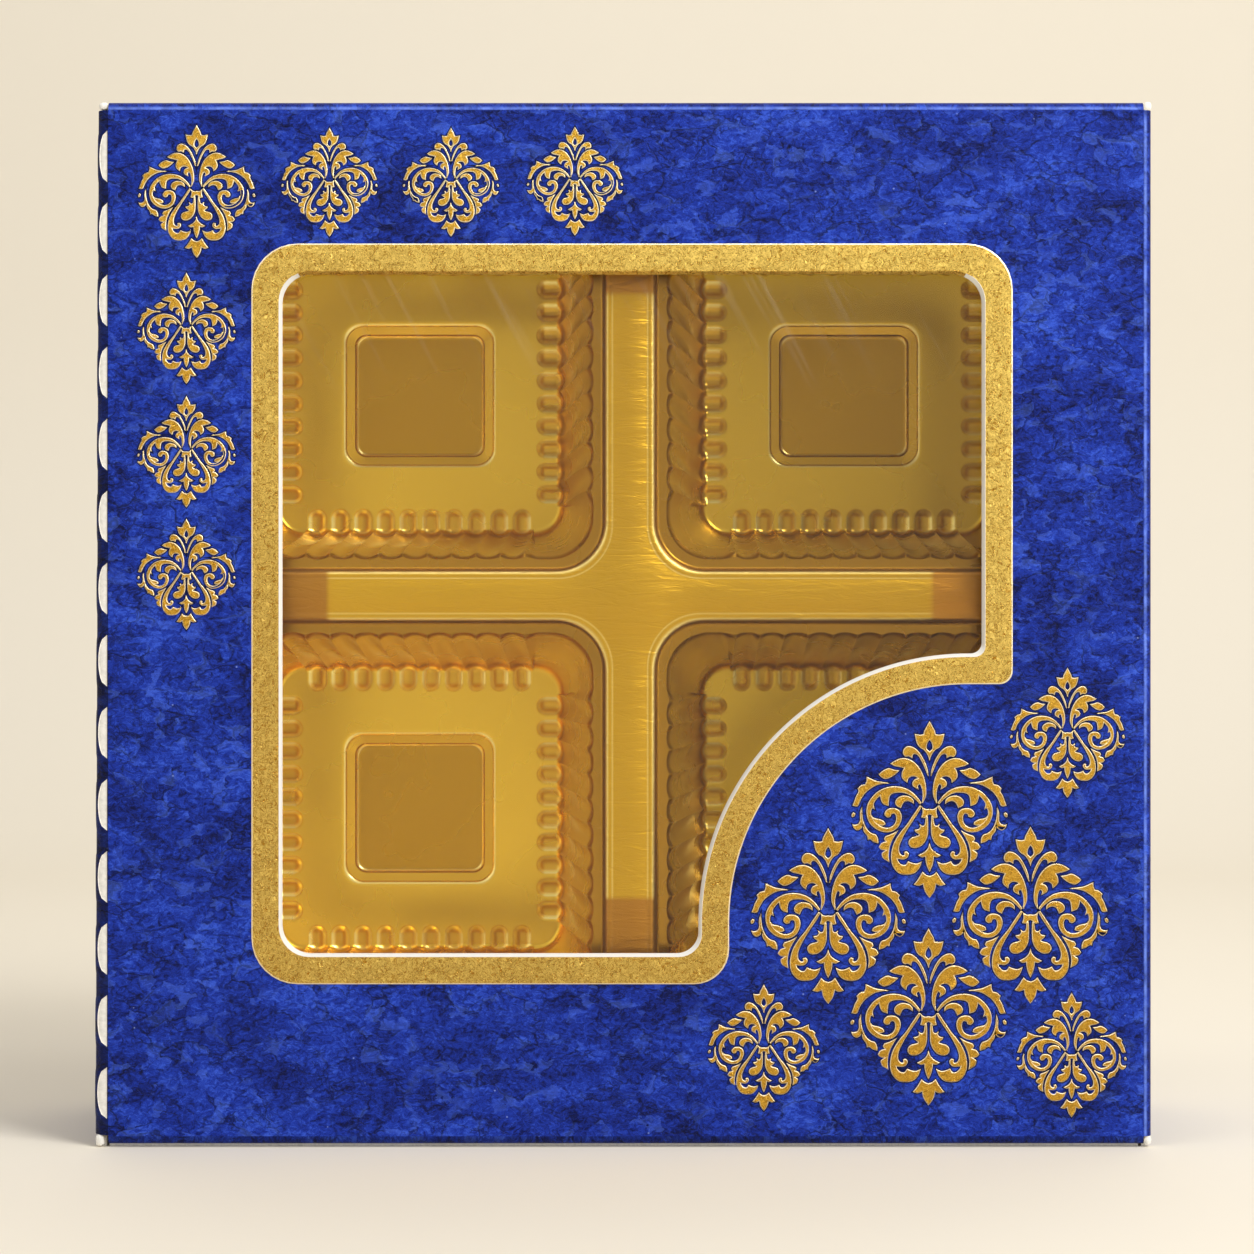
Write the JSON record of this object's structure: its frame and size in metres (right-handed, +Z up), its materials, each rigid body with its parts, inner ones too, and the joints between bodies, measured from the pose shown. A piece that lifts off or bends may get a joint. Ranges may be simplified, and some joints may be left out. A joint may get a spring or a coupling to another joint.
{
  "type": "window gift box",
  "caption": "Small square gift carton with a hinged window lid, a gold border round the scooped window and a fluted tray for chocolates.",
  "frame": {"origin": "middle of the carton's footprint on the surface it stands on", "axes": "+X to the right seen from the front, +Y from the lid to the back panel, +Z up"},
  "size_m": [0.1016, 0.0318, 0.1016],
  "materials": {
    "base_panel": "gloss print",
    "spine_wall": "gloss print",
    "right_wall": "gloss print",
    "top_wall": "gloss print",
    "bottom_wall": "gloss print",
    "top_left_tab": "bare board",
    "top_right_tab": "bare board",
    "bottom_left_tab": "bare board",
    "bottom_right_tab": "bare board",
    "cavity_tray": "metallised gold",
    "lid_panel": "gloss print",
    "window_film": "clear film",
    "tuck_flap": "gloss print",
    "top_ear": "gloss print",
    "bottom_ear": "gloss print"
  },
  "bodies": {
    "base": {"base_panel": "base_panel", "spine_wall": "spine_wall", "right_wall": "right_wall", "top_wall": "top_wall", "bottom_wall": "bottom_wall", "top_left_tab": "top_left_tab", "top_right_tab": "top_right_tab", "bottom_left_tab": "bottom_left_tab", "bottom_right_tab": "bottom_right_tab", "cavity_tray": "cavity_tray"},
    "lid": {"lid_panel": "lid_panel", "window_film": "window_film"},
    "tuck": {"tuck_flap": "tuck_flap"},
    "ear_above": {"top_ear": "top_ear"},
    "ear_below": {"bottom_ear": "bottom_ear"}
  },
  "joints": [
    {"name": "lid_hinge", "type": "hinge", "parent": "base", "child": "lid", "pos_m": [-0.0508, -0.01523, 0.0508], "axis": [0, 0, -1], "range_deg": [0, 180]},
    {"name": "tuck_flap_crease", "type": "hinge", "parent": "lid", "child": "tuck", "pos_m": [0.0501, -0.01523, 0.0508], "axis": [0, 0, -1], "range_deg": [0, 95]},
    {"name": "top_ear_crease", "type": "hinge", "parent": "lid", "child": "ear_above", "pos_m": [0, -0.01523, 0.1009], "axis": [1, 0, 0], "range_deg": [0, 95]},
    {"name": "bottom_ear_crease", "type": "hinge", "parent": "lid", "child": "ear_below", "pos_m": [0, -0.01523, 0.0007], "axis": [-1, 0, 0], "range_deg": [0, 95]}
  ],
  "couplings": [
    {"joint": "tuck_flap_crease", "follows": "lid_hinge", "ratio": 0.5},
    {"joint": "top_ear_crease", "follows": "lid_hinge", "ratio": 0.25},
    {"joint": "bottom_ear_crease", "follows": "lid_hinge", "ratio": 0.25}
  ]
}
